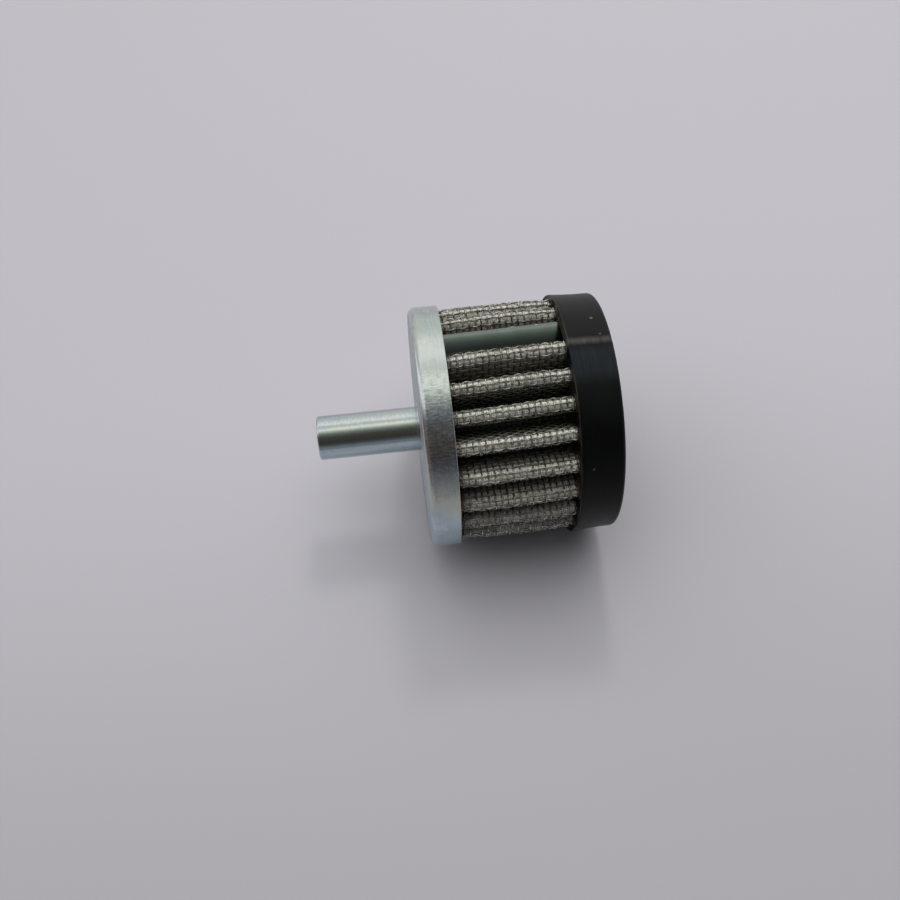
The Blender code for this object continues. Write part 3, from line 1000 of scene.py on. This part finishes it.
@dataclass
class EndCap(CastRing):
    """The moulded rubber end cap, cast round the pleats' lower ends, with a thin uneven lip.

    The top face climbs on to the pleats by a share of the meniscus for a share of the way out.
    """

    corner: float = 0.8 * MM
    lip_round: float = 0.18 * MM
    lip_height: float = 0.25 * MM
    lip_flare: float = 0.40 * MM
    lip_width: float = 0.45 * MM
    sink: float = 0.25 * MM
    meniscus: float = 0.35 * MM
    dish: float = 0.1 * MM
    climb: tuple[Pair, ...] = ((0.12, 0.55), (0.35, 0.16), (0.7, 0.02), (1.0, 0.0))
    pocket_drop: float = 1.6 * MM

    def build(self) -> Piece:
        """Build the cap's skin as rings that share the pleats' points.

        Going down the outer side: the core's disc and wall, the pocket's floor and its pleated
        wall, the top face out to the lip, the lip's round edge, the side, the corner, the base.
        The side flares to the lip by flare * (1 - t)^2, t being the share of the way down.
        """
        radius, _, top = node_span("end_cap")
        top -= self.sink
        floor, mouth = top - self.pocket_drop, radius + self.lip_flare
        flat, turn, unit = self.outline()
        lip = top + self.lip_height * (0.45 + 0.45 * ripple(turn * 3.0, turn * 0.0, 3, 9))
        rings = [(unit * (self.core_radius * share), top) for share in (0.2, 0.7, 0.98)]
        rings += [(unit * self.core_radius, floor), (flat, floor), (flat, top + self.meniscus)]
        edge = unit * (mouth - self.lip_width)
        for share, rise in self.climb:
            rings.append((flat * (1 - share) + edge * share, top - self.dish + self.meniscus * rise))
        for angle in np.radians([180, 135, 90, 45, 0]):
            out = mouth + self.lip_round * (np.cos(angle) - 1)
            rings.append((unit * out, lip + self.lip_round * (np.sin(angle) - 1)))
        for share in np.linspace(0.1, 1.0, 10):
            level = (lip - self.lip_round) * (1 - share) + self.corner * share
            rings.append((unit * (radius + self.lip_flare * (1 - share) ** 2), level))
        for angle in np.radians(np.linspace(-12, -90, 7)):
            out = radius + self.corner * (np.cos(angle) - 1)
            rings.append((unit * out, self.corner * (1 + np.sin(angle))))
        rings += [(unit * (radius * share), 0.0) for share in (0.9, 0.6, 0.2)]
        return self.skin("end_cap_rubber", rings)


@dataclass
class BasePotting(CastRing):
    """The adhesive ring in the cup, which climbs a little on to the pleats."""

    meniscus: float = 0.9 * MM
    climb: tuple[Pair, ...] = ((0.25, 0.0), (0.6, 0.15), (0.88, 0.5), (1.0, 1.0))
    rim_gap: float = 0.25 * MM
    bevel: float = 1.2 * MM
    bore_radius: float = 7.76 * MM
    pocket_rise: float = 1.5 * MM

    def build(self) -> Piece:
        """Build the ring's skin as rings that share the pleats' points."""
        radius, low, high = node_span("base_potting")
        flat, turn, unit = self.outline()
        uneven = self.meniscus * (0.75 + 0.4 * ripple(turn * 5.0, turn * 0.0, 9, 9))
        edge, bore = unit * (radius + self.rim_gap), unit * self.bore_radius
        rings = [(bore, high), (unit * (radius - self.bevel), high)]
        rings += [(edge, high - self.bevel), (edge, low + 0.1 * MM)]
        for share, drop in self.climb:
            rings.append((edge * (1 - share) + flat * share, low - uneven * drop))
        core, ceiling = unit * self.core_radius, low + self.pocket_rise
        rings += [(flat, ceiling), (core, ceiling), (core, low), (bore, low)]
        return self.skin("base_adhesive", rings, hoop=True)


@dataclass
class SeamClip:
    """The folded channel over the element's two ends: its rounded back leans, high on one side."""

    line: PleatLine
    crown_radius: float = 23.2 * MM
    lean: float = 52.0
    back: float = 10.0 * MM
    shoulder: float = 0.95 * MM
    half_width: float = 3.3 * MM
    depth: float = 5.6 * MM
    tuck: float = 0.3 * MM
    foot: float = 2.55 * MM
    sheet: float = 0.6 * MM
    dent: float = 0.0012

    def section(self, inset: float) -> Array:
        """Return the section under its outer face by the inset: leg, three arcs, leg.

        The points are (distance across the seam, radius), from the low leg to the high one. The
        back's wide arc touches both shoulders' arcs: its centre lies back - shoulder from theirs.
        """
        tilt = math.radians(self.lean)
        high = np.array([self.half_width - self.shoulder, self.crown_radius - self.shoulder])
        span = self.half_width - 2 * self.shoulder + self.foot
        low = high - span * np.array([1.0, math.tan(tilt)])
        reach = self.back - self.shoulder
        half = math.asin(0.5 * np.hypot(*(high - low)) / reach)
        sink = reach * math.cos(half)
        centre = 0.5 * (high + low) - sink * np.array([-math.sin(tilt), math.cos(tilt)])
        over, under = (90.0 + self.lean + side * math.degrees(half) for side in (-1, 1))
        low_arc = arc(low, self.shoulder - inset, 180.0, under, 8)
        wide_arc = arc(centre, self.back - inset, under, over, 16)
        high_arc = arc(high, self.shoulder - inset, over, 0.0, 12)
        rise = np.linspace(0.0, 1.0, 6)[:-1, None]
        low_foot = np.array([[inset - self.foot, low[1] - self.tuck]])
        high_foot = np.array([[self.foot - inset, self.crown_radius - self.depth]])
        low_leg = low_foot * (1 - rise) + low_arc[:1] * rise
        high_leg = high_foot * (1 - rise) + high_arc[-1:] * rise
        return np.vstack([low_leg, low_arc, wide_arc[1:-1], high_arc, high_leg[::-1]])

    def build(self) -> Piece:
        """Build the clip: the section's loop carried up the seam."""
        _, low, high = node_span("seam_clip")
        loop = np.vstack([self.section(0.0), self.section(self.sheet)[::-1]])
        angle = math.radians(self.line.seam_azimuth)
        x = loop[:, 1] * math.cos(angle) - loop[:, 0] * math.sin(angle)
        y = loop[:, 1] * math.sin(angle) + loop[:, 0] * math.cos(angle)
        levels = np.linspace(high, low, 34)[:, None]
        bow = 1.0 + self.dent * ripple(levels * 300.0, x[None, :] * 100.0, 14)
        points = self.line.turned_to(x * bow, y * bow, levels).reshape(-1, 3)
        count = len(loop)
        faces = grid_faces(len(levels), count, False, True)[:, ::-1].tolist()
        last = (len(levels) - 1) * count
        for here in range(count // 2 - 1):
            quad = [here, here + 1, count - 2 - here, count - 1 - here]
            faces += [quad, [last + index for index in quad[::-1]]]
        return add_mesh("seam_clip_sheet", points, faces)


@dataclass
class BaseCup:
    """The pressed steel cup, with its rounded shoulder and its turned rim edge."""

    shoulder: float = 1.6 * MM
    sheet: float = 0.8 * MM
    edge: float = 0.18 * MM
    hole_gap: float = 0.1 * MM
    face_rise: float = 0.4 * MM
    rim_rise: float = 0.2 * MM
    around: int = 240

    def build(self) -> Piece:
        """Turn the cup's closed profile: face, shoulder, rim and the inside of the sheet."""
        radius, low, high = node_span("base_cup")
        low, high = low + self.rim_rise, high + self.face_rise
        hole = TUBE_RADIUS + self.hole_gap
        centre = (radius - self.shoulder, high - self.shoulder)
        outer, inner = radius - self.edge, radius - self.sheet + self.edge
        profile = [
            np.array([[hole, high], [hole + 2 * MM, high], [12 * MM, high]]),
            arc(centre, self.shoulder, 90, 0, 14),
            np.array([[radius, low + 3 * MM], [radius, low + 1.5 * MM]]),
            arc((outer, low + self.edge), self.edge, 0, -90, 4),
            arc((inner, low + self.edge), self.edge, -90, -180, 4),
            arc(centre, self.shoulder - self.sheet, 0, 90, 8),
            np.array([[hole, high - self.sheet]]),
        ]
        return turned("base_cup_steel", np.vstack(profile), self.around)


@dataclass
class InletTube:
    """The push-in tube, with a soft chamfer on its square end and a braze fillet at the cup."""

    bore: float = 3.8 * MM
    chamfer: float = 0.3 * MM
    fillet: float = 0.1 * MM
    flare: float = 7.46 * MM
    flare_thickness: float = 0.9 * MM
    around: int = 128

    def build(self) -> Piece:
        """Turn the tube's closed profile."""
        _, low, high = node_span("inlet_tube")
        radius, soft = TUBE_RADIUS, 0.35 * self.chamfer
        flare_top, shoulder = low + self.flare_thickness, high - self.chamfer
        profile = [
            [self.bore + self.chamfer, high], [radius - self.chamfer - soft, high],
            [radius - self.chamfer + 0.2 * soft, high - 0.2 * soft],
            [radius - 0.2 * soft, shoulder], [radius, shoulder - soft],
        ]
        for share in np.linspace(0.08, 1.0, 14):
            level = (shoulder - soft) * (1 - share) + (flare_top + self.fillet) * share
            profile.append([radius, level])
        profile += [
            [radius + self.fillet, flare_top], [self.flare, flare_top], [self.flare, low],
            [self.bore + self.chamfer, low], [self.bore, low + self.chamfer], [self.bore, shoulder],
        ]
        return turned("inlet_tube_steel", np.array(profile), self.around)


@dataclass(frozen=True)
class Lamp:
    """A round lamp that faces the filter's middle and that no surface mirrors."""

    name: str
    direction: Triple
    size: float
    power: float
    away: float = 0.6
    aim_level: float = 30 * MM
    colour: Colour = (1.0, 0.985, 0.95)

    def hang(self) -> None:
        """Add the lamp to the scene."""
        data = bpy.data.lights.new(self.name, "AREA")
        data.shape, data.size, data.energy, data.color = "DISK", self.size, self.power, self.colour
        light = bpy.data.objects.new(self.name, data)
        toward = Vector(self.direction).normalized()
        place = Matrix.Translation(toward * self.away + Vector((0.0, 0.0, self.aim_level)))
        light.matrix_world = place @ toward.to_track_quat("Z", "Y").to_matrix().to_4x4()
        light.visible_glossy = False
        bpy.context.scene.collection.objects.link(light)


@dataclass
class Studio:
    """The pale table that the filter lies on in the photograph, the lights and the camera."""

    camera_place: Triple = (0.0, -216.9 * MM, 44.3 * MM)
    camera_aim: Triple = (-5.47 * MM, 0.0, 33.2 * MM)
    camera_roll: float = 0.104
    camera_focal: float = 39.91
    camera_sensor: float = 36.0
    table_normal: Triple = (0.5, -0.866, 0.0)
    table_gap: float = 25.95 * MM
    table_reach: float = 0.22
    table_levels: Pair = (-0.19, 0.19)
    # The table's painted shade: its span along X and its darker colour.
    table_shade_span: Pair = (-0.11, 0.02)
    table_colour: Colour = (0.600, 0.585, 0.630)
    table_painted_shade: Colour = (0.480, 0.467, 0.502)
    lamps: tuple[Lamp, ...] = (
        Lamp("main_light", (0.90, -0.42, -0.12), 0.09, 0.50),
        Lamp("side_light", (0.62, -0.50, -0.60), 0.3, 0.15),
    )
    bright_side: Triple = (0.738, -0.675, 0.0)
    bright_edge: Pair = (0.76, 0.97)
    bright_reach: Pair = (0.20, 0.66)
    beyond_share: float = 0.48
    soft_dim: Colour = (0.045, 0.045, 0.047)
    soft_bright: Colour = (2.30, 2.31, 2.31)
    dusk: Colour = (0.15, 0.13, 0.105)
    wall: Colour = (0.50, 0.52, 0.53)
    far_window: Colour = (1.25, 1.29, 1.24)
    room: tuple[tuple[float, Colour], ...] = (
        (-180.0, (0.50, 0.52, 0.50)), (-56.0, (0.22, 0.24, 0.26)), (-44.0, (0.10, 0.11, 0.115)),
        (-31.0, (0.052, 0.050, 0.048)), (-18.0, (0.072, 0.066, 0.056)), (-2.0, (0.080, 0.077, 0.068)),
        (8.0, (0.12, 0.14, 0.135)), (18.0, (0.23, 0.26, 0.235)), (28.0, (0.55, 0.62, 0.55)),
        (39.0, (1.26, 1.30, 1.16)), (56.0, (0.70, 0.73, 0.70)), (70.0, (1.18, 1.20, 1.16)),
        (84.0, (1.04, 1.07, 1.02)), (102.0, (0.77, 0.81, 0.77)), (146.0, (0.60, 0.63, 0.60)),
        (180.0, (0.50, 0.52, 0.50)),
    )

    def camera(self) -> None:
        """Stand the camera where the photograph was taken from: image up is +X, rolled a little."""
        data = bpy.data.cameras.new("photo_camera")
        data.lens = self.camera_focal
        data.sensor_width = self.camera_sensor
        data.clip_start = 0.01
        camera = bpy.data.objects.new("photo_camera", data)
        ahead = (Vector(self.camera_aim) - Vector(self.camera_place)).normalized()
        hint = Vector((math.cos(self.camera_roll), 0.0, -math.sin(self.camera_roll)))
        up = (hint - ahead * hint.dot(ahead)).normalized()
        right = ahead.cross(up)
        turn = Matrix((right, up, -ahead)).transposed().to_4x4()
        camera.matrix_world = Matrix.Translation(self.camera_place) @ turn
        bpy.context.scene.collection.objects.link(camera)
        bpy.context.scene.camera = camera

    def table(self) -> None:
        """Lay the one-sided table against the caps' sides. Seen from behind it isn't there."""
        normal = Vector(self.table_normal).normalized()
        across = np.array(Vector(UP).cross(normal)) * self.table_reach
        middle = np.array(normal) * -self.table_gap
        low, high = (middle + np.array(UP) * level for level in self.table_levels)
        points = np.array([low - across, low + across, high + across, high - across])
        table = add_mesh("table", points, [[0, 1, 2, 3]])
        material, graph = new_material("table_paper")
        behind = graph.signal(graph.node("NewGeometry"), "Backfacing")
        up_slope, _, _ = graph.split(graph.place())
        # The paper is painted darker toward -X, a painted shade for the lamps' falloff down the table.
        shade = graph.mix(up_slope.step(*self.table_shade_span), self.table_painted_shade, self.table_colour)
        paper = graph.signal(graph.node("BsdfDiffuse", {}, {"Color": shade}))
        clear = graph.signal(graph.node("BsdfTransparent"))
        either = graph.signal(graph.node("MixShader", {}, {0: behind, 1: paper, 2: clear}))
        graph.node("OutputMaterial", {}, {"Surface": either})
        table.data.materials.append(material)

    def world(self) -> None:
        """Light the room.

        Matt surfaces get a soft light from a band over the table, which goes on weakly beyond the
        tube. Polished ones mirror the room by its turn about the filter's axis: dark where the
        photographer stands, a bright window in two panes above, paler walls beyond it, and past
        the tube's end another window over a dim corner.
        """
        world = bpy.data.worlds.new("room")
        world.use_nodes = True
        bpy.context.scene.world = world
        graph = Graph(world.node_tree)
        x, y, z = graph.split(graph.place("Generated"))
        stops = [(degrees / 360.0 + 0.5, colour) for degrees, colour in self.room]
        mirrored = graph.ramp(graph.turn(x, y * -1.0) / (2 * math.pi) + 0.5, stops)
        window = self.far_window
        stops = [(0.55, self.dusk), (0.63, window), (0.71, window), (0.80, self.wall)]
        mirrored = graph.mix(z.step(0.45, 0.95), mirrored, graph.ramp(x * 0.5 + 0.5, stops))
        mirrored = graph.mix((z * -1.0).step(0.45, 0.95), mirrored, self.wall)
        bright = Vector(self.bright_side).normalized()
        facing = (x * bright.x + y * bright.y) / graph.reach(x, y).most(0.05)
        band = facing.step(*self.bright_edge) * (1.0 - z.size().step(*self.bright_reach))
        beyond = facing.step(0.40, 0.92) * z.step(0.22, 0.60) * (1.0 - z.step(0.80, 1.0))
        soft = graph.mix(band.most(beyond * self.beyond_share), self.soft_dim, self.soft_bright)
        path = graph.node("LightPath")
        lit = graph.mix(graph.signal(path, "Is Glossy Ray"), soft, mirrored)
        seen = graph.mix(graph.signal(path, "Is Camera Ray"), lit, self.table_colour)
        background = graph.signal(graph.node("Background", {}, {"Color": seen, "Strength": 1.0}))
        graph.node("OutputWorld", {}, {"Surface": background})

    def build(self) -> None:
        """Set the stage."""
        bpy.context.scene.view_settings.view_transform = "Standard"
        self.camera()
        self.table()
        for lamp in self.lamps:
            lamp.hang()
        self.world()


def finishes(cap_level: float, rim_level: float) -> dict[str, Material]:
    """Build the filter's materials.

    Args:
        cap_level: The level of the CAD cap's top face.
        rim_level: The level of the CAD cup's rim.

    Returns:
        The materials by the record's slot.
    """
    # Tints by the turn, partly the zinc's faint rainbow and partly painted reflection of the room and
    # the table.
    cup_rainbow_and_reflection_tints = (
        (-180.0, (0.42, 0.59, 0.69)), (-145.0, (0.43, 0.60, 0.70)), (-123.0, (0.54, 0.56, 0.45)),
        (-107.0, (0.47, 0.45, 0.54)), (-88.0, (0.42, 0.42, 0.50)), (-70.0, (0.55, 0.58, 0.59)),
        (-34.0, (0.57, 0.60, 0.55)), (10.0, (0.50, 0.54, 0.55)), (60.0, (0.44, 0.54, 0.59)),
        (105.0, (0.52, 0.53, 0.45)), (140.0, (0.46, 0.44, 0.53)), (180.0, (0.42, 0.59, 0.69)),
    )
    tube_rainbow_and_reflection_tints = (
        (-180.0, (0.44, 0.60, 0.70)), (-130.0, (0.46, 0.61, 0.71)), (-95.0, (0.47, 0.45, 0.43)),
        (-60.0, (0.50, 0.54, 0.55)), (0.0, (0.50, 0.53, 0.55)), (70.0, (0.46, 0.50, 0.56)),
        (130.0, (0.50, 0.51, 0.50)), (180.0, (0.44, 0.60, 0.70)),
    )
    cap_specks = ((-0.760, 3.09 * MM, 0.014, 0.35 * MM), (-2.045, 6.54 * MM, 0.009, 0.2 * MM))
    # The two listed marks on the clip's top edge are painted glints.
    clip_painted_glints = ((-0.652, 18.7 * MM, 0.008, 0.5 * MM), (-0.652, 13.8 * MM, 0.008, 0.25 * MM))
    glue = GlueStain(rim_level - 0.1 * MM)
    kinds = {
        "zinc_cup": ZincPlate(
            "zinc_cup", cup_rainbow_and_reflection_tints, end=(0.33, 0.37, 0.37),
            roughness=0.23, streak=0.14, blemish=0.6, grain=1.3,
        ),
        "zinc_tube": ZincPlate(
            "zinc_tube", tube_rainbow_and_reflection_tints, end=(0.27, 0.25, 0.17),
            roughness=0.13, streak=0.05, blemish=0.10, grain=0.3,
        ),
        "black_rubber": MouldedRubber(
            "black_rubber", scuff_azimuth=-1.0, lip_level=cap_level - 0.25 * MM, specks=cap_specks
        ),
        "wire_cloth": WireFinish("wire_cloth", glue),
        "cotton_gauze": CottonGauze("cotton_gauze", glue),
        "adhesive": SetAdhesive("amber_adhesive"),
        "clip_sheet": ClipSheet("clip_sheet", clip_painted_glints),
    }
    return {slot: kind.build() for slot, kind in kinds.items()}


def main() -> None:
    """Build and dress every piece, then set the stage."""
    logging.basicConfig(level=logging.INFO, format="%(name)s: %(message)s")
    _, foot, top = node_span("outer_screen")
    cap_level, rim_level = node_span("end_cap")[2], node_span("base_cup")[1]
    line = PleatLine(
        tip_radius=24.85 * MM, foot_level=foot, top_level=top, grip_low=cap_level, grip_high=rim_level
    )
    looks = finishes(cap_level, rim_level)

    element = PleatedElement(line)
    for build in (element.hoops, element.ribs):
        for strand in Strand:
            dressed(build(strand), looks, "wire_cloth", "outer_screen")
    gauze = dressed(element.gauze(), looks, "cotton_gauze", "gauze")
    run = Cloth(line, element.gauze_depth).length
    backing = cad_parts["inner_screen"].data.materials
    backing.clear()
    backing.append(looks["wire_cloth"])

    for part, slot, node in (
        (EndCap(line), "black_rubber", "end_cap"),
        (BasePotting(line), "adhesive", "base_potting"),
        (SeamClip(line), "clip_sheet", "seam_clip"),
        (BaseCup(), "zinc_cup", "base_cup"),
        (InletTube(), "zinc_tube", "inlet_tube"),
    ):
        dressed(part.build(), looks, slot, node)
    Studio().build()


if __name__ == "__main__":
    main()
